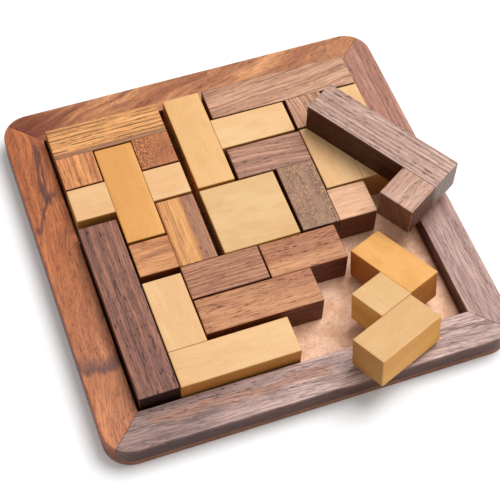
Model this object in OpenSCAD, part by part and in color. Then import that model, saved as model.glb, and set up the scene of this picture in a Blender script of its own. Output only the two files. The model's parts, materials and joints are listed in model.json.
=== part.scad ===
// Thirteen-piece packing puzzle in a mitred tray.
// The twelve five-cell pieces and one square of four cells fill an eight by eight well.
// Eleven pieces lie in the well, the L lies on top of its neighbours and the W leans on a rail.
// Origin: middle of the tray's underside. +X right, +Y to the back rail, +Z up.

/* [Puzzle] */
// Side of one cell of the puzzle
cell = 16; // [12:0.5:24]
// Thickness of every puzzle piece
piece_h = 14.2; // [11:0.1:24]

/* [Tray] */
// Height of the rails above the base panel, which is the depth of the well
rail_h = 7.5; // [5:0.5:10]
// Width of the rails
rail_w = 15.5; // [12:0.5:24]
// Thickness of the base panel
base_t = 3; // [2:0.5:6]
// Radius of the tray's four outer corners
corner_r = 11; // [3:0.5:14]

/* [Clearances] */
// Planed off each outer face of a puzzle piece
shave = 0.15; // [0.1:0.05:0.3]
// Spare length of the well on top of eight cells
slack = 5; // [4:0.5:8]
// Air left under a loose piece where it rests on another
rest_gap = 0.05; // [0.02:0.01:0.1]

/* [How the pieces lie in the well] */
// U piece: shift right, shift back (shares of the free play) and turn in degrees
u_lie = [-0.68, 0.76, 0]; // [-1:0.01:1]
// X piece
x_lie = [-0.64, 0.62, -0.1]; // [-1:0.01:1]
// I piece
i_lie = [-0.81, -0.65, 0.4]; // [-1:0.01:1]
// T piece
t_lie = [0.38, 0.70, -0.1]; // [-1:0.01:1]
// Y piece
y_lie = [0.84, 0.72, -0.4]; // [-1:0.01:1]
// P piece
p_lie = [0.85, 0.50, 0]; // [-1:0.01:1]
// Z piece
z_lie = [0.78, 0.37, -0.5]; // [-1:0.01:1]
// Square piece
o_lie = [0.33, 0.33, 0.2]; // [-1:0.01:1]
// F piece
f_lie = [-0.67, 0.31, -0.1]; // [-1:0.01:1]
// N piece
n_lie = [-0.60, 0.18, -0.1]; // [-1:0.01:1]
// V piece
v_lie = [-0.70, -0.68, 0.4]; // [-1:0.01:1]

/* [How the loose pieces lie] */
// Corner of the L piece's free end, in cells from the middle of the well
l_at = [2.30, 2.07]; // [-4:0.01:4]
// Turn of the L piece
l_turn = -58.6; // [-62:0.1:-55]
// Corner of the W piece that touches the floor, in cells from the middle of the well
w_at = [2.88, -1.65]; // [-4:0.01:4]
// Turn of the W piece
w_turn = -66.4; // [-68:0.1:-64]

/* [Hidden] */
$fn = 96;
cells = 8;
well = cells * cell + slack;
outer = well + 2 * rail_w;
play = slack / 2;
w_lean = atan2(rail_h, w_at.y * cell + well / 2);
big = 2 * outer;

// Woods, as plain colours.
rosewood_orange = "#a8623a";
rosewood_red = "#8d5340";
rosewood_grey = "#a47f76";
panel_brown = "#a9795a";
gold = "#d9a050";
striped_gold = "#b88442";
cream = "#edc68e";
dark_walnut = "#5a3a34";
grey_brown = "#7d5c50";
red_brown = "#9a5f42";
pink_brown = "#a87a68";
tan = "#d0a27c";

// ---- Shapes that repeat ----

// Square slab with round corners, centred on the origin.
module rounded_slab(side, radius, height) {
    straight = side - 2 * radius;
    corner = side / 2 - radius;
    translate([-side / 2, -straight / 2, 0]) cube([side, straight, height]);
    translate([-straight / 2, -side / 2, 0]) cube([straight, side, height]);
    for (x = [-corner, corner], y = [-corner, corner])
        translate([x, y, 0]) cylinder(h = height, r = radius);
}

// One rail, with mitred ends and its share of the round corners; turn 0 is the front rail.
module rail(turn) {
    near = outer / 2;
    far = well / 2;
    translate([0, 0, base_t])
        intersection() {
            rounded_slab(outer, corner_r, rail_h);
            rotate(turn)
                linear_extrude(rail_h)
                    polygon([[-near, -near], [near, -near], [far, -far], [-far, -far]]);
        }
}

// One wooden block, given in cells: its front left corner and its size.
// glued = [left, right, front, back] is 1 on a side that runs on to the block it is glued to.
module block(at, size, glued = [0, 0, 0, 0]) {
    low = [for (i = [0, 1]) at[i] * cell + shave - 2 * shave * glued[2 * i]];
    high = [for (i = [0, 1]) (at[i] + size[i]) * cell - shave + 2 * shave * glued[2 * i + 1]];
    translate([low.x, low.y, 0]) cube([high.x - low.x, high.y - low.y, piece_h]);
}

// Puts a piece in the well; cells count from the front left corner, centre is what it turns about.
module in_well(centre, lie) {
    from_middle = centre - [cells / 2, cells / 2];
    translate([from_middle.x * cell + lie.x * play, from_middle.y * cell + lie.y * play, base_t])
        rotate(lie.z)
            translate([-centre.x * cell, -centre.y * cell, 0])
                children();
}

// Puts the L on top of the pieces in the well.
module on_top() {
    translate([l_at.x * cell, l_at.y * cell, base_t + piece_h + rest_gap])
        rotate(l_turn)
            children();
}

// Leans the W from the floor of the well over the front rail.
module leaning() {
    translate([w_at.x * cell, w_at.y * cell, base_t + rest_gap])
        rotate([-w_lean, 0, 0])
            rotate(w_turn)
                translate([0, -cell, 0])
                    children();
}

// ---- Tray ----

module base_panel() {
    color(panel_brown) rounded_slab(outer, corner_r, base_t);
}

module rail_front() {
    color(rosewood_grey) rail(0);
}

module rail_right() {
    color(rosewood_red) rail(90);
}

module rail_back() {
    color(rosewood_red) rail(180);
}

module rail_left() {
    color(rosewood_orange) rail(270);
}

// ---- Pieces in the well, each glued up from blocks ----

module u_piece() {
    in_well([1.5, 7], u_lie) children();
}
module u_bar() {
    color(striped_gold) u_piece() block([0, 7], [3, 1]);
}
module u_left_arm() {
    color(red_brown) u_piece() block([0, 6], [1, 1], [0, 0, 0, 1]);
}
module u_right_arm() {
    color(grey_brown) u_piece() block([2, 6], [1, 1], [0, 0, 0, 1]);
}

module x_piece() {
    in_well([1.5, 5.5], x_lie) children();
}
module x_bar() {
    color(gold) x_piece() block([1, 4], [1, 3]);
}
module x_left_arm() {
    color(cream) x_piece() block([0, 5], [1, 1], [0, 1, 0, 0]);
}
module x_right_arm() {
    color(cream) x_piece() block([2, 5], [1, 1], [1, 0, 0, 0]);
}

module i_bar() {
    color(dark_walnut) in_well([0.5, 2.5], i_lie) block([0, 0], [1, 5]);
}

module t_piece() {
    in_well([4.5, 6.5], t_lie) children();
}
module t_bar() {
    color(cream) t_piece() block([3, 5], [1, 3]);
}
module t_stem() {
    color(cream) t_piece() block([4, 6], [2, 1], [1, 0, 0, 0]);
}

module y_piece() {
    in_well([6, 7.5], y_lie) children();
}
module y_bar() {
    color(pink_brown) y_piece() block([4, 7], [4, 1]);
}
module y_tab() {
    color(pink_brown) y_piece() block([6, 6], [1, 1], [0, 0, 0, 1]);
}

module p_piece() {
    in_well([7, 5.5], p_lie) children();
}
module p_long_bar() {
    color(cream) p_piece() block([7, 4], [1, 3]);
}
module p_short_bar() {
    color(cream) p_piece() block([6, 4], [1, 2], [0, 1, 0, 0]);
}

module z_piece() {
    in_well([5.5, 4.5], z_lie) children();
}
module z_back_bar() {
    color(grey_brown) z_piece() block([4, 5], [2, 1]);
}
module z_side_bar() {
    color(grey_brown) z_piece() block([5, 3], [1, 2], [0, 0, 0, 1]);
}
module z_foot() {
    color(tan) z_piece() block([6, 3], [1, 1], [1, 0, 0, 0]);
}

module o_square() {
    color(cream) in_well([4, 4], o_lie) block([3, 3], [2, 2]);
}

module f_piece() {
    in_well([2.5, 3.5], f_lie) children();
}
module f_bar() {
    color(striped_gold) f_piece() block([2, 3], [1, 2], [0, 0, 1, 0]);
}
module f_arm() {
    color(red_brown) f_piece() block([1, 3], [1, 1], [0, 1, 0, 0]);
}
module f_foot_bar() {
    color(red_brown) f_piece() block([2, 2], [2, 1]);
}

module n_piece() {
    in_well([4, 2], n_lie) children();
}
module n_long_bar() {
    color(pink_brown) n_piece() block([2, 1], [3, 1]);
}
module n_short_bar() {
    color(red_brown) n_piece() block([4, 2], [2, 1], [0, 0, 1, 0]);
}

module v_piece() {
    in_well([2.5, 1.5], v_lie) children();
}
module v_front_bar() {
    color(cream) v_piece() block([1, 0], [3, 1]);
}
module v_side_bar() {
    color(cream) v_piece() block([1, 1], [1, 2], [0, 0, 1, 0]);
}

// ---- Loose pieces, counted in cells from their own corner ----

module l_bar() {
    color(grey_brown) on_top() block([0, 0], [4, 1]);
}
module l_foot() {
    color(pink_brown) on_top() block([3, -1], [1, 1], [0, 0, 0, 1]);
}

module w_far_bar() {
    color(gold) leaning() block([0, 0], [2, 1]);
}
module w_middle() {
    color(cream) leaning() block([1, -1], [1, 1], [0, 1, 0, 1]);
}
module w_near_bar() {
    color(cream) leaning() block([2, -2], [1, 2]);
}

base_panel();
rail_left();
rail_right();
rail_front();
rail_back();
u_bar();
u_left_arm();
u_right_arm();
x_bar();
x_left_arm();
x_right_arm();
i_bar();
t_bar();
t_stem();
y_bar();
y_tab();
p_long_bar();
p_short_bar();
z_back_bar();
z_side_bar();
z_foot();
o_square();
f_bar();
f_arm();
f_foot_bar();
n_long_bar();
n_short_bar();
v_front_bar();
v_side_bar();
l_bar();
l_foot();
w_far_bar();
w_middle();
w_near_bar();
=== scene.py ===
"""Packing puzzle: thirteen glued-up wooden pieces in a tray of mitred rosewood rails."""
import json
import math

import bmesh
import bpy
from mathutils import Matrix, Vector


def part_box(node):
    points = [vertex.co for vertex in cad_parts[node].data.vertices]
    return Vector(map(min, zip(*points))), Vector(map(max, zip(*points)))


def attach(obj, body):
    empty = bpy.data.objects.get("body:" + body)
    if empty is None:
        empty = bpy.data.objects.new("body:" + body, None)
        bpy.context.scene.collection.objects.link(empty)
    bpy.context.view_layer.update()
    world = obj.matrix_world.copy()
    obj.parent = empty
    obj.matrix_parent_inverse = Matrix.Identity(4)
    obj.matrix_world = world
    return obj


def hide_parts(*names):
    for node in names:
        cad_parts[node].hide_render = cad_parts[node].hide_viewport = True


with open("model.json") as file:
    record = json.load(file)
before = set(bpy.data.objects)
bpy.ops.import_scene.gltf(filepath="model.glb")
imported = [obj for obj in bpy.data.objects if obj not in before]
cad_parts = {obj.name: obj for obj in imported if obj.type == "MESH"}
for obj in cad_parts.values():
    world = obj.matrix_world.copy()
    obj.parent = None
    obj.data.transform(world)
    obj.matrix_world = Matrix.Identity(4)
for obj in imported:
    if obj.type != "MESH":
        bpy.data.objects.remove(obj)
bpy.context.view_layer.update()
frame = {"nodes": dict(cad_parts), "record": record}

MM = 0.001

# How the wood was worked, in metres.
EASE = 0.45 * MM           # rounding that sanding leaves on a block's edges
WEAR_BAND = 1.1 * MM       # how far handling lightens the wood in from an edge
RAIL_INNER_EASE = 0.35 * MM
RAIL_OUTER_EASE = 0.6 * MM
PANEL_EASE = 0.4 * MM      # the same for the panel's lower edge
STAIN_CREEP = 1.0 * MM     # how far the rails' stain shows on the well's floor
MITRE_LINE = 0.3 * MM      # width of the dark glue line at half a mitre
FOOT = 0.15 * MM           # a row of vertices this far above a wall's foot keeps its shading flat
PORE_DEPTH = 0.09 * MM     # how deep the open pores lie
GRIT_DEPTH = 0.05 * MM     # height of the fibres on the bare panel
NUDGE = 0.05 * MM          # smaller than any gap, larger than any rounding of numbers
SAME_PLACE = NUDGE / 10    # vertices this close are one
GLUE_LINE = "#43261a"
FIRST_RAIL_BOARD = 50      # the rails' boards are numbered from here, past all the blocks' boards

# The studio.
FLOOR_REACH = 6.0          # half the floor's width, in metres
FLOOR_OPENING = 0.985      # as a share of the tray's own outline
KEY_PLACE = (0.48, 0.18, 1.05)    # the light's place and width in metres, and its watts
KEY_SIZE = 0.85
KEY_POWER = 12.15
SURROUNDINGS = 0.52        # brightness of the white all round

# ---------------------------------------------------------------- small helpers


def linear(hex_colour):
    """A colour given as sRGB hex, as the linear values that Blender works in."""
    channels = [int(hex_colour[i:i + 2], 16) / 255 for i in (1, 3, 5)]
    return [c / 12.92 if c <= 0.04045 else ((c + 0.055) / 1.055) ** 2.4 for c in channels] + [1.0]


def add(tree, kind, inputs=(), out=0, **settings):
    """Adds a node, makes its settings, sets or links its inputs, and returns one of its outputs."""
    made = tree.nodes.new(kind)
    for name, value in settings.items():
        setattr(made, name, value)
    pairs = inputs.items() if isinstance(inputs, dict) else enumerate(inputs)
    for key, value in pairs:
        if isinstance(value, bpy.types.NodeSocket):
            tree.links.new(value, made.inputs[key])
        else:
            made.inputs[key].default_value = value
    return made.outputs[out] if made.outputs else made


def new_object(name, data):
    made = bpy.data.objects.new(name, data)
    bpy.context.scene.collection.objects.link(made)
    return made


def write_attribute(mesh, name, kind, values):
    """Stores one value for each vertex."""
    if name in mesh.attributes:
        mesh.attributes.remove(mesh.attributes[name])
    layer = mesh.attributes.new(name, kind, "POINT")
    field = "vector" if kind == "FLOAT_VECTOR" else "value"
    flat = [n for v in values for n in v] if kind == "FLOAT_VECTOR" else values
    layer.data.foreach_set(field, flat)


# ---------------------------------------------------------------- woods

# Node kinds and settings that come up often.
MATH = "ShaderNodeMath"
VECTOR = "ShaderNodeVectorMath"
RANGE = "ShaderNodeMapRange"
NOISE = "ShaderNodeTexNoise"
MIX = "ShaderNodeMix"
ATTRIBUTE = "ShaderNodeAttribute"
SMOOTH = {"interpolation_type": "SMOOTHSTEP"}
MULTIPLY = {"operation": "MULTIPLY"}
COLOUR = {"data_type": "RGBA", "out": 2}     # a Mix whose inputs 6 and 7 are its two colours
NOISE_4D = {"noise_dimensions": "4D"}

# Sizes that all woods share, in mm along the board and in mm across it.
WANDER_MM = (34, 13)          # from one bend of the grain to the next
BREAK_WIDTH_MM = 1.6          # width of the pieces of a broken line
FIBRE_MM = (11, 0.5)          # fibres are 0.1 mm fine, and drawn wider so that they show
BAND_LENGTH_MM = 150          # the bands change this slowly along the board
BOARD_STEP = 7.3              # how far apart two boards' patterns are drawn

# Every wood is drawn by one shader. Its pattern runs along the first coordinate of the
# attribute grain_place, which holds the place in the board it was cut from, in metres.
PLAIN_WOOD = {
    "light": "#d8a274",           # wood between the growth bands
    "dark": "#9b6448",            # growth bands
    "pore": "#4c2a1c",            # open pores and fine fibres
    "band_mm": 2.2,               # typical width of a growth band
    "band_edge": 0.13,            # 0.05 is a sharp band, 0.4 a faint one
    "line_mm": 2.4,               # from one late-wood line to the next
    "line_share": 0.12,           # how much of that the line takes up
    "line": 0.0,                  # strength of the late-wood lines
    "line_breaks": 0.43,          # higher for more broken lines
    "dash_mm": 16,                # length of the pieces of a broken line
    "pith_mm": (0, 14, -60),      # middle of the tree, from the middle of the block
    "taper": 0.03,                # how fast the bands open along the board
    "slant": 0,                   # degrees that the grain runs off the board's length
    "wander_mm": 1.6,             # how far the bands wander
    "fibre": 0.35,                # strength of the fine lines
    "pores": 0.75,                # strength of the pores
    "pore_size_mm": (3.0, 0.42),  # length and width of a pore as drawn
    "pore_from": 0.60,            # lower for more pores
    "mottle": 0.3,                # strength of the clouds of darker colour
    "mottle_mm": 9,
    "mottle_stretch": 3,          # how many times longer than wide the clouds are
    "edge_band": None,            # (from mm, to mm, colour) across the board, such as sapwood
    "knot": None,                 # (along mm, across mm, radius mm, push mm, colour of its rim)
    "shade": None,                # (no shade from mm, full shade from mm, colour) along the board
    "stains": (),                 # (from mm, to mm, across mm, slope, half width mm, colour) each
    "glue": 0.75,                 # how dark the glue lines are
    "end_grain_and_painted_light": "#b49a88",       # end grain drinks the oil and goes darker; the ash's grey end colour is a painted reflection
    "side_painted_shade": "#ffffff",      # painted shade and bounce light on the sides, darkening and tinting them as light falls on them
    "rough": 0.46,                # roughness of the wood between its pores
}


def wood(name, **look):
    """One wood; look says what differs from PLAIN_WOOD. All lengths in it are in mm.

    A noise lies round 0.5 and seldom leaves 0.3 to 0.7, so the ranges below pick from there.
    """
    spec = {**PLAIN_WOOD, **look}
    material = bpy.data.materials.new(name)
    material.use_nodes = True
    tree = material.node_tree
    shader = tree.nodes["Principled BSDF"]
    shader.inputs["IOR"].default_value = 1.5
    shader.inputs["Specular IOR Level"].default_value = 0.3
    board = add(tree, ATTRIBUTE, out="Fac", attribute_name="board")
    board = add(tree, MATH, [board, BOARD_STEP], **MULTIPLY)
    grain = add(tree, ATTRIBUTE, out="Vector", attribute_name="grain_place")
    place = add(tree, VECTOR, [grain, (1 / MM,) * 3], **MULTIPLY)
    turned = (0, 0, math.radians(spec["slant"]))
    place = add(tree, "ShaderNodeMapping", {"Vector": place, "Rotation": turned})

    # The grain wanders, and bends round a knot.
    length, width = WANDER_MM
    slow = add(tree, VECTOR, [place, (1 / length, 1 / width, 1 / width)], **MULTIPLY)
    drift = add(tree, NOISE, {"Vector": slow, "W": board, "Scale": 1}, out="Color", **NOISE_4D)
    drift = add(tree, VECTOR, [drift, (0.5, 0.5, 0.5)], operation="SUBTRACT")
    sway = 2 * spec["wander_mm"]
    drift = add(tree, VECTOR, [drift, (sway, sway, sway)], **MULTIPLY)
    bent = add(tree, VECTOR, [place, drift], operation="ADD")
    if spec["knot"]:
        knot_along, knot_across, radius, push, rim_tone = spec["knot"]
        level = add(tree, VECTOR, [place, (1, 1, 0)], **MULTIPLY)
        knot_place = (knot_along, knot_across, 0)
        from_knot = add(tree, VECTOR, [level, knot_place], out="Value", operation="DISTANCE")
        shove = add(tree, RANGE, [from_knot, radius, 0, 0, push], **SMOOTH)
        shove = add(tree, "ShaderNodeCombineXYZ", {"Y": shove})
        bent = add(tree, VECTOR, [bent, shove], operation="ADD")
    along = add(tree, "ShaderNodeSeparateXYZ", [bent], out=0)
    across = add(tree, "ShaderNodeSeparateXYZ", [bent], out=1)

    # Growth bands are rings round the pith, so the ends of a block show them as arcs.
    flat = add(tree, VECTOR, [bent, (spec["taper"], 1, 1)], **MULTIPLY)
    depth = add(tree, VECTOR, [flat, spec["pith_mm"]], out="Value", operation="DISTANCE")
    band = add(tree, MATH, [depth, 1 / spec["band_mm"]], **MULTIPLY)
    far_along = add(tree, MATH, [along, 1 / BAND_LENGTH_MM], **MULTIPLY)
    band_place = add(tree, "ShaderNodeCombineXYZ", [band, far_along, 0])
    band_noise = add(tree, NOISE, {"Vector": band_place, "W": board, "Scale": 1, "Detail": 3,
                                   "Roughness": 0.6}, **NOISE_4D)
    edge = spec["band_edge"]
    band_tone = add(tree, RANGE, [band_noise, 0.5 - edge, 0.5 + edge], **SMOOTH)
    colour = add(tree, MIX, {0: band_tone, 6: linear(spec["dark"]), 7: linear(spec["light"])}, **COLOUR)

    # Clouds of darker wood.
    width = spec["mottle_mm"]
    length = width * spec["mottle_stretch"]
    broad = add(tree, VECTOR, [bent, (1 / length, 1 / width, 1 / width)], **MULTIPLY)
    clouds = add(tree, NOISE, {"Vector": broad, "W": board, "Scale": 1, "Detail": 3}, **NOISE_4D)
    mottle = add(tree, RANGE, [clouds, 0.42, 0.68, 0, spec["mottle"]], **SMOOTH)

    # Late-wood lines at uneven distances, which break off and start again.
    ring = add(tree, MATH, [depth, 1 / spec["line_mm"]], **MULTIPLY)
    uneven = add(tree, MATH, [band_noise, 1.2], **MULTIPLY)
    ring = add(tree, MATH, [ring, uneven], operation="ADD")
    ring = add(tree, MATH, [ring, 0.5], operation="PINGPONG")
    length, width = spec["dash_mm"], BREAK_WIDTH_MM
    streak = add(tree, VECTOR, [bent, (1 / length, 1 / width, 1 / width)], **MULTIPLY)
    breaks = add(tree, NOISE, {"Vector": streak, "W": board, "Scale": 1, "Detail": 2}, **NOISE_4D)
    share, gap = spec["line_share"], spec["line_breaks"]
    unbroken = add(tree, RANGE, [ring, share, share / 3, 0, spec["line"]], **SMOOTH)
    kept = add(tree, RANGE, [breaks, gap - 0.07, gap + 0.07], **SMOOTH)
    line = add(tree, MATH, [unbroken, kept], **MULTIPLY)

    # Fine lines of fibres.
    length, width = FIBRE_MM
    thread = add(tree, VECTOR, [bent, (1 / length, 1 / width, 1 / width)], **MULTIPLY)
    fibres = add(tree, NOISE, {"Vector": thread, "W": board, "Scale": 1, "Detail": 2,
                               "Roughness": 0.7}, **NOISE_4D)
    fibre = add(tree, RANGE, [fibres, 0.60, 0.36, 0, spec["fibre"]], **SMOOTH)

    # Pores are dashes 0.2 mm wide, drawn twice that, that crowd along some of the rings.
    length, width = spec["pore_size_mm"]
    dash = add(tree, VECTOR, [bent, (1 / length, 1 / width, 1 / width)], **MULTIPLY)
    dashes = add(tree, NOISE, {"Vector": dash, "W": board, "Scale": 1, "Detail": 1,
                               "Roughness": 0.4}, **NOISE_4D)
    crowd = add(tree, RANGE, [band_noise, 0.62, 0.40, 0.3, 1], **SMOOTH)
    start = spec["pore_from"]
    open_pore = add(tree, RANGE, [dashes, start, start + 0.08], **SMOOTH)
    pore = add(tree, MATH, [open_pore, crowd], **MULTIPLY)
    pore_tone = add(tree, MATH, [pore, spec["pores"]], **MULTIPLY)

    # What lies over the bands, from the wood itself to what was done to it: (how, how much, colour).
    layers = [("MIX", mottle, spec["dark"]), ("MIX", line, spec["pore"])]
    if spec["edge_band"]:
        start, stop, tone = spec["edge_band"]
        enters = add(tree, RANGE, [across, start - 0.5, start + 0.5], **SMOOTH)
        leaves = add(tree, RANGE, [across, stop + 0.5, stop - 0.5, 0, 0.85], **SMOOTH)
        layers.append(("MIX", add(tree, MATH, [enters, leaves], **MULTIPLY), tone))
    if spec["shade"]:
        start, stop, tone = spec["shade"]
        layers.append(("MULTIPLY", add(tree, RANGE, [along, start, stop], **SMOOTH), tone))
    ragged = add(tree, RANGE, [breaks, 0.3, 0.7, -1.6, 1.6])
    for start, stop, centre, slope, half_width, tone in spec["stains"]:
        lean = add(tree, MATH, [along, -slope, ragged], operation="MULTIPLY_ADD")
        offset = add(tree, MATH, [across, lean], operation="ADD")
        offset = add(tree, MATH, [offset, centre], operation="SUBTRACT")
        offset = add(tree, MATH, [offset], operation="ABSOLUTE")
        near = add(tree, RANGE, [offset, half_width, half_width / 3, 0, 0.8], **SMOOTH)
        enters = add(tree, RANGE, [along, start, start + 5], **SMOOTH)
        leaves = add(tree, RANGE, [along, stop, stop - 5], **SMOOTH)
        span = add(tree, MATH, [enters, leaves], **MULTIPLY)
        layers.append(("MIX", add(tree, MATH, [near, span], **MULTIPLY), tone))
    if spec["knot"]:
        # The rim is dark on the knot's far side only, a crescent.
        rim = add(tree, MATH, [from_knot, ragged], operation="ADD")
        enters = add(tree, RANGE, [rim, radius - 8, radius - 1.5, 0, 0.8], **SMOOTH)
        leaves = add(tree, RANGE, [rim, radius + 2, radius - 0.5], **SMOOTH)
        beyond = add(tree, RANGE, [along, knot_along + 2, knot_along + 8], **SMOOTH)
        rim = add(tree, MATH, [enters, leaves], **MULTIPLY)
        rim = add(tree, MATH, [rim, beyond], **MULTIPLY)
        layers.append(("MIX", rim, rim_tone))
    end, side, wear, glue = [add(tree, ATTRIBUTE, out="Fac", attribute_name=name)
                             for name in ("end_grain", "side", "wear", "glue")]
    patch = add(tree, NOISE, {"Vector": place, "W": board, "Scale": 0.15}, **NOISE_4D)
    handled = add(tree, RANGE, [patch, 0.35, 0.65, 0.05, 0.35], **SMOOTH)
    wear = add(tree, MATH, [wear, handled], **MULTIPLY)
    glue = add(tree, MATH, [glue, spec["glue"]], **MULTIPLY)
    # Then come the end-grain tint (a painted reflection on the ash's ends), painted shade and bounce light on
    # the sides, real wear along free edges, and the glue lines.
    layers += [("MIX", fibre, spec["pore"]), ("MIX", pore_tone, spec["pore"]),
               ("MULTIPLY", end, spec["end_grain_and_painted_light"]), ("MULTIPLY", side, spec["side_painted_shade"]),
               ("SCREEN", wear, spec["dark"]), ("MIX", glue, GLUE_LINE)]
    for kind, amount, tone in layers:
        colour = add(tree, MIX, {0: amount, 6: colour, 7: linear(tone)}, blend_type=kind, **COLOUR)
    tree.links.new(colour, shader.inputs["Base Color"])

    # Pores are dull and sunk; the fibres between them stand a little proud.
    dull = add(tree, RANGE, [fibres, 0.3, 0.7, spec["rough"] + 0.07, spec["rough"] - 0.07])
    dull_pore = add(tree, MATH, [pore, 0.25], **MULTIPLY)
    dull = add(tree, MATH, [dull, dull_pore], operation="ADD")
    tree.links.new(dull, shader.inputs["Roughness"])
    raised = add(tree, RANGE, [fibres, 0.36, 0.62, 0, 0.35], **SMOOTH)
    height = add(tree, MATH, [raised, pore_tone], operation="SUBTRACT")
    relief = add(tree, "ShaderNodeBump", {"Height": height, "Strength": 0.6, "Distance": PORE_DEPTH})
    tree.links.new(relief, shader.inputs["Normal"])
    return material


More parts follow.
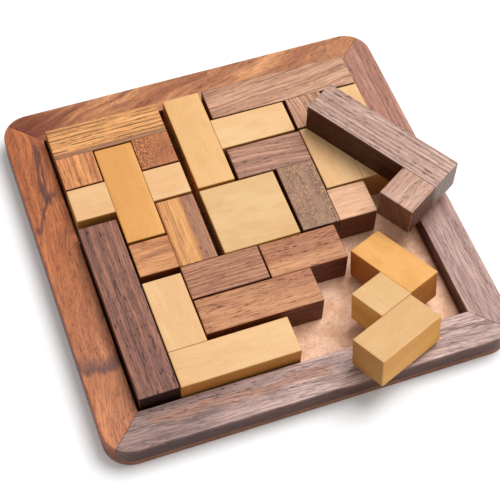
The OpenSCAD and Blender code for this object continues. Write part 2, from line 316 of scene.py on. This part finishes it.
def make_woods():
    """The woods of this puzzle: haldu for the pale blocks, sheesham of many boards for the rest."""
    # The side colours below are painted shade and bounce light, set wood by wood to how much light reaches
    # its sides.
    # Haldu, close-grained and sanded fine: nearly even cream with soft clouds and faint fibres.
    pale = dict(dark="#dba672", pore="#a8743c", band_mm=6, band_edge=0.36, fibre=0.10, pores=0.13,
                pore_size_mm=(1.2, 0.4), mottle=0.5, mottle_mm=5, mottle_stretch=2.2,
                end_grain_and_painted_light="#cdb282", side_painted_shade="#dab67c", glue=0.12, rough=0.5)
    # Sheesham sapwood: golden, drawn over with thin broken brown lines like a zebra's.
    golden = dict(pore="#54301c", band_edge=0.2, wander_mm=0.8, side_painted_shade="#c49a76", pores=0.6)
    # Sheesham heartwood, warm: orange to red brown with open pores.
    warm = dict(pore="#4e2818", band_edge=0.12, fibre=0.42, side_painted_shade="#94684e", end_grain_and_painted_light="#a07c64")
    # Sheesham heartwood, pinkish grey: the oil has faded, and lines and pores stand out.
    faded = dict(pore="#452a20", band_edge=0.12, fibre=0.42, pith_mm=(0, 80, -30), side_painted_shade="#7c5238",
                 end_grain_and_painted_light="#94786a")
    # Sheesham sawn across its pores: each shows as a speck lighter than the wood round it.
    specked = dict(pore_size_mm=(0.7, 0.55), pore_from=0.50, pores=0.75, mottle=0.8, mottle_mm=4,
                   mottle_stretch=1.5, wander_mm=3, fibre=0.12, band_mm=3.0)
    # The rails' boards are longer, have more oil in them, and shine a little more.
    long_board = dict(fibre=0.42, glue=0.35, rough=0.42, end_grain_and_painted_light="#8a6a58")
    sanded = {
        # Cream, the palest of all.
        "haldu_pale": dict(pale, light="#e9c38f"),
        # Cream that handling has turned a little tan, with a lighter, warmer painted shade on its sides than
        # the other haldu.
        "haldu_tan": dict(pale, light="#e2bd8a", dark="#d0a06a", side_painted_shade="#ffe49c"),
        # Cream with more yellow in it.
        "haldu_cream": dict(pale, light="#eabc82", dark="#d6a266"),
        # Honey yellow from near the heart, without any brown.
        "haldu_golden": dict(pale, light="#edb26a", dark="#d2924a", pore="#9c6426", side_painted_shade="#cfa268"),
        # Zebra lines on gold, with a plain brown band along one edge.
        "sheesham_striped": dict(
            golden, light="#fabb76", dark="#d48e52", band_mm=1.6, line_mm=1.9, line_share=0.2, line=0.8,
            line_breaks=0.44, dash_mm=7, pith_mm=(0, 90, -25), taper=0.05, fibre=0.38,
            edge_band=(-12, -5.6, "#93664c")),
        # Gold on one side and brown heartwood on the other, along the whole block.
        "sheesham_split": dict(
            golden, light="#eaaa68", dark="#bf7d48", band_mm=2.0, pith_mm=(0, 70, -30), fibre=0.3,
            line_mm=5, line=0.5, edge_band=(-12, -2.0, "#a0705a")),
        # Orange brown, in narrow wandering bands.
        "sheesham_orange": dict(
            warm, light="#e09c66", dark="#b27048", band_mm=1.3, mottle=0.4, line_mm=2.6, line=0.3),
        # The brightest orange, in straight narrow bands.
        "sheesham_fiery": dict(
            warm, light="#f0a668", dark="#c87c4c", band_mm=1.2, line_mm=2.2, line=0.35, pith_mm=(0, 70, -30)),
        # Red brown with many short dark pores.
        "sheesham_red": dict(warm, light="#d69769", dark="#a86b4a", band_mm=1.6, pores=1.0, mottle=0.4),
        # Rose brown, ruled with close thin lines.
        "sheesham_lined": dict(
            warm, light="#cd906c", dark="#9d6549", band_mm=1.2, line_mm=1.5, line=0.6,
            pith_mm=(0, 80, -30), wander_mm=1.2),
        # Rust with orange specks.
        "sheesham_specked_red": dict(
            warm, **{**specked, "pore": "#dc965e"}, light="#ae6840", dark="#84482c"),
        # Grey brown with golden specks.
        "sheesham_specked_grey": dict(
            faded, **{**specked, "pore": "#d6a678"}, light="#94705c", dark="#6e5044"),
        # Light brown, its grain running off at a slant.
        "sheesham_wavy": dict(
            faded, light="#dfab8a", dark="#b07e62", band_mm=1.3, line_mm=2.1, line=0.5, slant=-7,
            taper=0.08, wander_mm=2.6, pores=0.55),
        # Ash pink with straight dark lines; painted shade makes its sides black brown, and a painted
        # reflection of the white surroundings makes its ends pale grey.
        "sheesham_ash": dict(
            faded, light="#d4afa0", dark="#b28e7e", band_mm=1.2, line_mm=1.8, line_share=0.12, line=0.62,
            wander_mm=0.5, pores=0.8, fibre=0.34, end_grain_and_painted_light="#bec5c2", side_painted_shade="#64320a"),
        # Soft rose, nearly without lines.
        "sheesham_rosy": dict(
            faded, light="#d2a892", dark="#b88e7a", band_mm=1.8, fibre=0.36, side_painted_shade="#7c5844"),
        # Dusky rose with short dark pores.
        "sheesham_dusk": dict(
            faded, light="#c8947a", dark="#966a56", band_mm=1.3, slant=6, wander_mm=2.2, pores=0.9,
            fibre=0.36),
        # Light tan pink, the palest sheesham.
        "sheesham_tan": dict(
            faded, light="#ecbc98", dark="#daa680", pore="#8c5a3e", band_mm=2.0, band_edge=0.25,
            fibre=0.3, pores=0.5),
        # The darkest board: purple brown with wavy black and rusty streaks.
        "sheesham_dark": dict(
            faded, light="#b0765d", dark="#7a5146", pore="#2e1a16", band_mm=1.4, line_mm=2.6, line=0.4,
            line_share=0.16, pith_mm=(0, 50, -30), wander_mm=2.2, mottle=0.4, pores=1.0, fibre=0.42,
            band_edge=0.16, end_grain_and_painted_light="#4c3228", side_painted_shade="#6a4c40"),
    }
    oiled = {
        # Orange red with a dark-rimmed knot and a few smoky stains.
        "sheesham_left_rail": dict(
            long_board, light="#df9263", dark="#b06a45", pore="#4a2822", band_mm=3.5, band_edge=0.16,
            pith_mm=(0, 26, -34), taper=0.06, slant=5, wander_mm=4, pore_size_mm=(2.4, 0.42),
            mottle=0.6, mottle_mm=8, knot=(31, 4, 15.5, 0.5, "#6a4844"), side_painted_shade="#c08058",
            shade=(50, -30, "#f2e0c8"),
            stains=((-74, -36, 1.8, 0.075, 1.3, "#573638"), (-48, -32, 1.4, 0.075, 3.0, "#6b4038"),
                    (-43, -18, -20.0, -0.53, 1.8, "#573638"))),
        # Red brown and gold in broad slanting flames.
        "sheesham_back_rail": dict(
            long_board, light="#e2a06c", dark="#a0603f", pore="#4c2a22", band_mm=3.6, band_edge=0.15,
            pith_mm=(0, 30, -30), taper=0.16, slant=-17, wander_mm=7, pores=0.6, mottle=0.6, mottle_mm=12,
            side_painted_shade="#b0886c", shade=(30, 70, "#b89594")),
        # Rosy grey at the front, turning to rust at the back, with fine close fibres.
        "sheesham_right_rail": dict(
            long_board, light="#c8a399", dark="#a47e72", pore="#44302c", band_mm=2.4, band_edge=0.28,
            pith_mm=(0, 50, -30), wander_mm=1.8, fibre=0.5, pores=0.6, mottle=0.4, line_mm=1.8, line=0.3,
            side_painted_shade="#7a4c34", shade=(-25, 25, "#ffe1cd")),
        # Silvery pink brown with long thin dark streaks, darker towards the left.
        "sheesham_front_rail": dict(
            long_board, light="#e0bcae", dark="#9c7e7a", pore="#3c2824", band_mm=4.5, band_edge=0.24,
            pith_mm=(0, 60, -30), taper=0.05, slant=2, wander_mm=2.4, fibre=0.5, pores=0.8, line_mm=2.4,
            line=0.3, pore_size_mm=(3.0, 0.4), mottle=0.4, side_painted_shade="#744630",
            shade=(-10, -60, "#d6d0d0"),
            stains=((-66, 10, 1.5, 0.02, 3.0, "#b07e66"), (-85, -35, -3.5, -0.02, 1.0, "#7a645c"),
                    (20, 75, 4.0, 0, 0.8, "#7a5a50"))),
    }
    woods = {name: wood(name + "_sanded", **look) for name, look in sanded.items()}
    woods.update({name: wood(name + "_oiled", **look) for name, look in oiled.items()})
    return woods


def make_panel_board():
    """Fine fibreboard: pinkish tan with specks where it is bare, stained brown round its edge."""
    material = bpy.data.materials.new("fibreboard_bare_and_stained")
    material.use_nodes = True
    tree = material.node_tree
    shader = tree.nodes["Principled BSDF"]
    shader.inputs["IOR"].default_value = 1.48
    shader.inputs["Roughness"].default_value = 0.72
    place = add(tree, "ShaderNodeTexCoord", out="Object")
    # Fibre clumps of 6 mm, bare fibres of 0.9 mm and dark bark specks of 1.6 mm.
    noises = [add(tree, NOISE, {"Vector": place, "Scale": 1 / (size * MM), "Detail": 3, "Roughness": 0.6})
              for size in (6, 0.9, 1.6)]
    clump = add(tree, RANGE, [noises[0], 0.35, 0.65], **SMOOTH)
    fibre = add(tree, RANGE, [noises[1], 0.52, 0.72, 0, 0.6], **SMOOTH)
    speck = add(tree, RANGE, [noises[2], 0.70, 0.76, 0, 0.8], **SMOOTH)
    stained = add(tree, MIX, {0: clump, 6: linear("#764a32"), 7: linear("#88583d")}, **COLOUR)
    stain = add(tree, ATTRIBUTE, out="Fac", attribute_name="stain")
    colour = add(tree, MIX, {0: clump, 6: linear("#e0ac8a"), 7: linear("#f9ccac")}, **COLOUR)
    for amount, tone in ((fibre, linear("#b0805f")), (speck, linear("#6e4630")), (stain, stained)):
        colour = add(tree, MIX, {0: amount, 6: colour, 7: tone}, **COLOUR)
    tree.links.new(colour, shader.inputs["Base Color"])
    grit = add(tree, "ShaderNodeBump", {"Height": noises[1], "Strength": 0.4, "Distance": GRIT_DEPTH})
    tree.links.new(grit, shader.inputs["Normal"])
    return material


# ---------------------------------------------------------------- blocks


def block_tree():
    """Geometry Nodes tree of one block: a box with eased edges, except where it is glued.

    Each side of the cube has eight rows of vertices. From either edge inwards they come to lie
    at the edge, in the middle and at the end of its rounding, and at the end of the rubbed band.
    """
    tree = bpy.data.node_groups.new("eased_block", "GeometryNodeTree")
    face = tree.interface
    face.new_socket("Geometry", in_out="OUTPUT", socket_type="NodeSocketGeometry")
    for name, kind in (("Half size", "Vector"), ("Ease", "Float"), ("Band", "Float"),
                       ("Free low sides", "Vector"), ("Free high sides", "Vector"), ("Wood", "Material")):
        face.new_socket(name, in_out="INPUT", socket_type="NodeSocket" + kind)
    given = add(tree, "NodeGroupInput").node.outputs
    ones = (1, 1, 1)
    rows = 8
    counts = {"Vertices " + axis: rows for axis in "XYZ"}
    cube = add(tree, "GeometryNodeMeshCube", {"Size": (2, 2, 2), **counts})
    place = add(tree, "GeometryNodeInputPosition")
    sign = add(tree, VECTOR, [place], operation="SIGN")
    from_middle = add(tree, VECTOR, [place], operation="ABSOLUTE")
    row = add(tree, VECTOR, {0: from_middle, "Scale": rows - 1.0}, operation="SCALE")
    # Rows are now numbered 7, 5, 3 and 1 from the edge to the middle. Each share goes from 0 at
    # its first row to 1 at its second: inset by the rounding and by the rubbed band, nearness to
    # the edge, and the dark glue line.
    shares = {}
    for title, first, second in (("ease", 7, 3), ("band", 3, 1), ("edge", 3, 7), ("glue", 5, 7)):
        limits = {7: (first,) * 3, 8: (second,) * 3, 9: (0, 0, 0), 10: ones}    # from, and to
        shares[title] = add(tree, RANGE, {"Vector": row, **limits}, out="Vector", data_type="FLOAT_VECTOR")
    eased = add(tree, VECTOR, {0: shares["ease"], "Scale": given["Ease"]}, operation="SCALE")
    banded = add(tree, VECTOR, {0: shares["band"], "Scale": given["Band"]}, operation="SCALE")
    inset = add(tree, VECTOR, [eased, banded], operation="ADD")
    reach = add(tree, VECTOR, [given["Half size"], inset], operation="SUBTRACT")
    # A side is free (1) or glued (0); the low or the high one counts by the vertex's sign.
    is_high = add(tree, VECTOR, [sign, ones], operation="ADD")
    is_high = add(tree, VECTOR, {0: is_high, "Scale": 0.5}, operation="SCALE")
    span = add(tree, VECTOR, [given["Free high sides"], given["Free low sides"]], operation="SUBTRACT")
    free = add(tree, VECTOR, [is_high, span, given["Free low sides"]], operation="MULTIPLY_ADD")
    rounding = add(tree, VECTOR, {0: free, "Scale": given["Ease"]}, operation="SCALE")
    limit = add(tree, VECTOR, [given["Half size"], rounding], operation="SUBTRACT")
    core = add(tree, VECTOR, [reach, limit], operation="MINIMUM")
    outward = add(tree, VECTOR, [reach, core], operation="SUBTRACT")
    outward = add(tree, VECTOR, [outward], operation="NORMALIZE")
    outward = add(tree, VECTOR, {0: outward, "Scale": given["Ease"]}, operation="SCALE")
    rounded = add(tree, VECTOR, [core, outward], operation="ADD")
    rounded = add(tree, VECTOR, [rounded, sign], **MULTIPLY)
    # Wear is where two free sides meet, glue where a glued side meets any other.
    bare = add(tree, VECTOR, [shares["edge"], free], out="Value", operation="DOT_PRODUCT")
    wear = add(tree, MATH, [bare, 1.0], operation="SUBTRACT", use_clamp=True)
    held = add(tree, VECTOR, [ones, free], operation="SUBTRACT")
    glue = add(tree, VECTOR, [shares["glue"], held], out="Value", operation="DOT_PRODUCT")
    shape = cube
    for title, value in (("wear", wear), ("glue", glue)):
        stored = {"Geometry": shape, "Name": title, "Value": value}
        shape = add(tree, "GeometryNodeStoreNamedAttribute", stored)
    shape = add(tree, "GeometryNodeSetPosition", {"Geometry": shape, "Position": rounded})
    # A glued side isn't rounded, so two rows fall together on it.
    shape = add(tree, "GeometryNodeMergeByDistance", {"Geometry": shape, "Distance": SAME_PLACE})
    shape = add(tree, "GeometryNodeSetShadeSmooth", [shape])
    shape = add(tree, "GeometryNodeRealizeInstances", [shape])
    shape = add(tree, "GeometryNodeSetMaterial", {"Geometry": shape, "Material": given["Wood"]})
    add(tree, "NodeGroupOutput", [shape])
    return tree


def grow(tree, name, **inputs):
    """Runs a Geometry Nodes tree and returns its result as a plain mesh."""
    holder = new_object(name + "_holder", bpy.data.meshes.new(name + "_holder"))
    modifier = holder.modifiers.new("grow", "NODES")
    modifier.node_group = tree
    for item in tree.interface.items_tree:
        if item.in_out == "INPUT" and item.name in inputs:
            modifier[item.identifier] = inputs[item.name]
    graph = bpy.context.evaluated_depsgraph_get()
    mesh = bpy.data.meshes.new_from_object(holder.evaluated_get(graph), depsgraph=graph)
    mesh.name = name
    bpy.data.objects.remove(holder)
    return mesh


class Block:
    """A block's place as the frame has it: centre, three unit directions and half sizes.

    The first direction is along its longest side, which is the way its grain runs, and the
    third is up.
    """

    def __init__(self, node):
        mesh = frame["nodes"][node].data
        low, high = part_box(node)
        self.centre = (low + high) / 2
        up, *level = self.directions(mesh)
        along = sorted(level, key=lambda d: -round(self.half(mesh, d) / NUDGE))[0]
        self.axes = (along, up.cross(along), up)
        self.halves = [self.half(mesh, d) for d in self.axes]
        self.matrix = Matrix.Translation(self.centre) @ Matrix(self.axes).transposed().to_4x4()

    @staticmethod
    def directions(mesh):
        """The three directions of the box's faces, each counted once, the upward one first."""
        found = []
        for polygon in mesh.polygons:
            normal = polygon.normal.copy()
            if normal.z < -0.5 or (abs(normal.z) < 0.5 and normal.x < 0):
                normal.negate()
            if all(abs(normal.dot(other)) < 0.5 for other in found):
                found.append(normal)
        return sorted(found, key=lambda n: -n.z)[:3]

    def half(self, mesh, direction):
        """How far the mesh reaches from the block's centre in that direction."""
        return max((v.co - self.centre).dot(direction) for v in mesh.vertices)

    def holds(self, point):
        """True if the point lies in the block or on its skin."""
        offset = point - self.centre
        return all(abs(offset.dot(axis)) <= half + NUDGE for axis, half in zip(self.axes, self.halves))

    def is_glued(self, side, way, others):
        """True if all of that side (0 or 1, low or high) meets one other block of the same piece."""
        out = self.axes[side] * way * (self.halves[side] + 2 * NUDGE)
        other_side = 1 - side
        nearly_all = 0.9
        span = self.axes[other_side] * self.halves[other_side] * nearly_all
        points = [self.centre + out + span * share for share in (-1, 0, 1)]
        return any(all(other.holds(p) for p in points) for other in others)


def mark_wood(mesh, to_board, axes, board):
    """Stores what the wood shader reads: place in the board, board number, end grain and sides."""
    along, across = axes
    write_attribute(mesh, "grain_place", "FLOAT_VECTOR", [to_board @ v.co for v in mesh.vertices])
    write_attribute(mesh, "board", "FLOAT", [board] * len(mesh.vertices))
    # end_grain marks faces across the grain, which get the end-grain tint; side marks faces along it, which
    # get painted shade.
    ends = [abs(v.normal.dot(along)) ** 2 for v in mesh.vertices]
    sides = [abs(v.normal.dot(across)) ** 2 for v in mesh.vertices]
    write_attribute(mesh, "end_grain", "FLOAT", ends)
    write_attribute(mesh, "side", "FLOAT", sides)


def stand_in(name, mesh, node, body):
    """Puts a finished mesh in the place of a CAD node."""
    made = new_object(name, mesh)
    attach(made, body)
    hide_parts(node)
    return made


def make_block(node, body, tree, material, neighbours, blocks, board):
    """One block, with its edges eased on every side that isn't glued to another block."""
    block = blocks[node]
    others = [blocks[n] for n in neighbours if n != node]
    # Top and bottom are always free.
    free = {way: [0.0 if block.is_glued(side, way, others) else 1.0 for side in (0, 1)] + [1.0]
            for way in (-1, 1)}
    mesh = grow(tree, node, **{"Half size": block.halves, "Ease": EASE, "Band": WEAR_BAND,
                               "Free low sides": free[-1], "Free high sides": free[1], "Wood": material})
    mesh.transform(block.matrix)
    mark_wood(mesh, block.matrix.inverted(), block.axes[:2], board)
    return stand_in(node + "_wood", mesh, node, body)


# ---------------------------------------------------------------- tray


class TraySizes:
    """Sizes of the tray, read from the frame."""

    def __init__(self):
        low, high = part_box("base_panel")
        rail_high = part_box("rail_front")[1]
        self.half = high.x
        self.well = -rail_high.y
        self.floor = high.z
        self.bottom = low.z
        self.top = rail_high.z
        # The mitre meets the round corner at 45 degrees.
        self.radius = (self.half - rail_high.x) / (1 - math.cos(math.radians(45)))

    def front_edge(self, steps=7, straight_steps=14):
        """Points along the front rail's outer edge, from mitre to mitre, left to right."""
        reach = self.half - self.radius
        line = math.degrees(MITRE_LINE / self.radius)
        turns = [0, line] + [45 * i / steps for i in range(1, steps + 1)]
        arc = [math.radians(225 + turn) for turn in turns]
        left = [Vector((-reach + self.radius * math.cos(a), -reach + self.radius * math.sin(a))) for a in arc]
        right = [Vector((-p.x, p.y)) for p in reversed(left)]
        shares = [2 * i / straight_steps - 1 for i in range(1, straight_steps)]
        middle = [Vector((reach * share, -self.half)) for share in shares]
        return left + middle + right

    def outline(self):
        """Points round the whole tray, counter-clockwise."""
        turns = [Matrix.Rotation(math.radians(90 * quarter), 2) for quarter in range(4)]
        return [turn @ point for turn in turns for point in self.front_edge()[:-1]]


def rail_profile(width, height):
    """The rail's section, from its outer foot over the top to its inner foot.

    Each point is (distance in from the outer edge, height, wear).
    """
    outer, inner = RAIL_OUTER_EASE, RAIL_INNER_EASE
    turns = [math.radians(a) for a in (0, 22.5, 45, 67.5, 90)]
    profile = [(0, level, 0.0) for level in (0, FOOT, height / 2, height - outer - WEAR_BAND)]
    profile += [(outer * (1 - math.cos(a)), height - outer + outer * math.sin(a), 1.0) for a in turns]
    profile += [(outer + WEAR_BAND, height, 0.0)]
    profile += [(width * share, height, 0.0) for share in (0.25, 0.5, 0.75)]
    profile += [(width - inner - WEAR_BAND, height, 0.0)]
    profile += [(width - inner + inner * math.sin(a), height - inner * (1 - math.cos(a)), 1.0) for a in turns]
    profile += [(width, level, 0.0) for level in (height - inner - WEAR_BAND, FOOT, 0)]
    return profile


def make_rail(node, turn, tray, material, board):
    """One rail: the section carried along the edge, fanned round the corners from the well's own."""
    work = bmesh.new()
    wear_layer = work.verts.layers.float.new("wear")
    glue_layer = work.verts.layers.float.new("glue")
    width = tray.half - tray.well
    profile = rail_profile(width, tray.top - tray.floor)
    edge = tray.front_edge()
    rows = []
    for number, point in enumerate(edge):
        at_mitre = number in (0, len(edge) - 1)
        limit = tray.well if at_mitre else tray.well - MITRE_LINE
        inner = Vector((max(-limit, min(limit, point.x)), -tray.well))
        way = inner - point
        row = []
        for distance, height, wear in profile:
            spot = point + way * (distance / width)
            vertex = work.verts.new((spot.x, spot.y, tray.floor + height))
            vertex[wear_layer] = wear
            vertex[glue_layer] = 1.0 if at_mitre else 0.0
            row.append(vertex)
        rows.append(row)
    for row, after in zip(rows, rows[1:]):
        for i in range(len(profile)):
            k = (i + 1) % len(profile)
            work.faces.new((row[i], after[i], after[k], row[k]))
    work.faces.new(reversed(rows[0]))
    work.faces.new(rows[-1])
    bmesh.ops.remove_doubles(work, verts=work.verts, dist=SAME_PLACE)
    bmesh.ops.recalc_face_normals(work, faces=work.faces)
    turning = Matrix.Rotation(math.radians(turn), 4, "Z")
    bmesh.ops.transform(work, matrix=turning, verts=work.verts)
    mesh = bpy.data.meshes.new(node)
    work.to_mesh(mesh)
    work.free()
    for polygon in mesh.polygons:
        polygon.use_smooth = len(polygon.vertices) <= 4
    middle = Matrix.Translation((0, -(tray.half + tray.well) / 2, (tray.floor + tray.top) / 2))
    axes = [turning.to_3x3() @ Vector(a) for a in ((1, 0, 0), (0, 1, 0))]
    mark_wood(mesh, (turning @ middle).inverted(), axes, board)
    mesh.materials.append(material)
    return stand_in(node + "_wood", mesh, node, "tray")


def make_panel(tray, material):
    """The base panel: a board with round corners and a slightly eased edge, bare inside the well."""
    work = bmesh.new()
    stain_layer = work.verts.layers.float.new("stain")
    outline = tray.outline()
    height = tray.floor - tray.bottom
    # Each ring is (how far in, height, stained or not); the stain runs a little way into the well.
    rail = tray.half - tray.well
    rings = [(PANEL_EASE, 0, 1.0), (0, PANEL_EASE, 1.0), (0, height, 1.0), (rail, height, 1.0),
             (rail + STAIN_CREEP, height, 0.0)]
    # A ring inside the rails is square: its round corners are pushed out and held at its sides.
    push = 1.2
    rows = []
    for inset, level, stain in rings:
        limit = tray.half - inset
        scale = limit / tray.half
        row = []
        for p in outline:
            spot = p * scale
            if inset >= rail:
                spot = Vector([max(-limit, min(limit, c * push)) for c in spot])
            vertex = work.verts.new((spot.x, spot.y, tray.bottom + level))
            vertex[stain_layer] = stain
            row.append(vertex)
        rows.append(row)
    for row, after in zip(rows, rows[1:]):
        for i in range(len(outline)):
            k = (i + 1) % len(outline)
            work.faces.new((row[i], row[k], after[k], after[i]))
    work.faces.new(rows[-1])
    work.faces.new(reversed(rows[0]))
    bmesh.ops.dissolve_degenerate(work, dist=NUDGE / 100, edges=work.edges)
    bmesh.ops.recalc_face_normals(work, faces=work.faces)
    mesh = bpy.data.meshes.new("base_panel")
    work.to_mesh(mesh)
    work.free()
    mesh.materials.append(material)
    return stand_in("base_panel_board", mesh, "base_panel", "tray")


# ---------------------------------------------------------------- camera, light, floor


def make_camera():
    """A long lens above the front left corner, tipped a little clockwise."""
    azimuth, elevation, roll = [math.radians(a) for a in (-21.53, 56.32, 2.28)]
    distance = 564.8 * MM
    aim = Vector((-1.69, -7.97, 3.0)) * MM
    data = bpy.data.cameras.new("camera")
    data.sensor_width = 36.0
    data.lens = 100.93
    data.clip_start, data.clip_end = 0.05, 20.0
    camera = new_object("camera", data)
    level = math.cos(elevation)
    back = Vector((math.sin(azimuth) * level, -math.cos(azimuth) * level, math.sin(elevation)))
    camera.location = aim + back * distance
    facing = (-back).to_track_quat("-Z", "Y").to_matrix().to_4x4()
    camera.rotation_euler = (facing @ Matrix.Rotation(roll, 4, "Z")).to_euler()
    bpy.context.scene.camera = camera


def make_light():
    """One large soft light, high up on the right and a little behind."""
    data = bpy.data.lights.new("key", "AREA")
    data.shape = "DISK"
    data.size = KEY_SIZE
    data.energy = KEY_POWER
    lamp = new_object("key", data)
    lamp.location = KEY_PLACE
    lamp.rotation_euler = (-Vector(KEY_PLACE)).to_track_quat("-Z", "Y").to_euler()


def make_studio(tray):
    """White floor and pale surroundings."""
    mesh = bpy.data.meshes.new("floor")
    # The floor is open under the tray, out of sight, so that the tray's underside has light too.
    rings = (FLOOR_OPENING, FLOOR_REACH / tray.half)
    outline = tray.outline()
    count = len(outline)
    corners = [(p.x * ring, p.y * ring, tray.bottom) for ring in rings for p in outline]
    around = [(i, (i + 1) % count) for i in range(count)]
    mesh.from_pydata(corners, [], [(i, i + count, k + count, k) for i, k in around])
    floor = new_object("floor", mesh)
    material = bpy.data.materials.new("white_paper")
    material.use_nodes = True
    shader = material.node_tree.nodes["Principled BSDF"]
    shader.inputs["Base Color"].default_value = linear("#fdfdfd")
    shader.inputs["Roughness"].default_value = 0.9
    shader.inputs["Specular IOR Level"].default_value = 0.1
    mesh.materials.append(material)
    world = bpy.data.worlds.new("studio")
    world.use_nodes = True
    background = world.node_tree.nodes["Background"]
    background.inputs["Color"].default_value = linear("#ffffff")
    background.inputs["Strength"].default_value = SURROUNDINGS
    bpy.context.scene.world = world
    scene = bpy.context.scene
    scene.view_settings.view_transform = "Standard"
    scene.view_settings.look = "None"


# ---------------------------------------------------------------- the puzzle

# The wood of each block.
BLOCK_WOODS = {
    "u_bar": "sheesham_striped", "u_left_arm": "sheesham_fiery", "u_right_arm": "sheesham_specked_red",
    "x_bar": "haldu_golden", "x_left_arm": "haldu_pale", "x_right_arm": "haldu_pale",
    "i_bar": "sheesham_dark",
    "t_bar": "haldu_cream", "t_stem": "haldu_pale",
    "y_bar": "sheesham_wavy", "y_tab": "sheesham_wavy",
    "p_long_bar": "haldu_pale", "p_short_bar": "haldu_pale",
    "z_back_bar": "sheesham_dusk", "z_side_bar": "sheesham_specked_grey", "z_foot": "sheesham_tan",
    "o_square": "haldu_tan",
    "f_bar": "sheesham_split", "f_arm": "sheesham_orange", "f_foot_bar": "sheesham_lined",
    "n_long_bar": "sheesham_red", "n_short_bar": "sheesham_red",
    "v_front_bar": "haldu_pale", "v_side_bar": "haldu_pale",
    "l_bar": "sheesham_ash", "l_foot": "sheesham_rosy",
    "w_far_bar": "haldu_golden", "w_middle": "haldu_tan", "w_near_bar": "haldu_tan",
}
# Each rail's wood, and how far it is turned from the front rail.
RAILS = {
    "rail_front": ("sheesham_front_rail", 0),
    "rail_right": ("sheesham_right_rail", 90),
    "rail_back": ("sheesham_back_rail", 180),
    "rail_left": ("sheesham_left_rail", 270),
}


def main():
    make_camera()
    woods = make_woods()
    tree = block_tree()
    blocks = {node: Block(node) for node in BLOCK_WOODS}
    board = 0
    for body, members in frame["record"]["behaviour"]["bodies"].items():
        for node in members:
            if node in BLOCK_WOODS:
                board += 1
                make_block(node, body, tree, woods[BLOCK_WOODS[node]], members, blocks, board)
    tray = TraySizes()
    for number, (node, (material, turn)) in enumerate(RAILS.items()):
        make_rail(node, turn, tray, woods[material], FIRST_RAIL_BOARD + number)
    make_panel(tray, make_panel_board())
    make_studio(tray)
    make_light()


main()
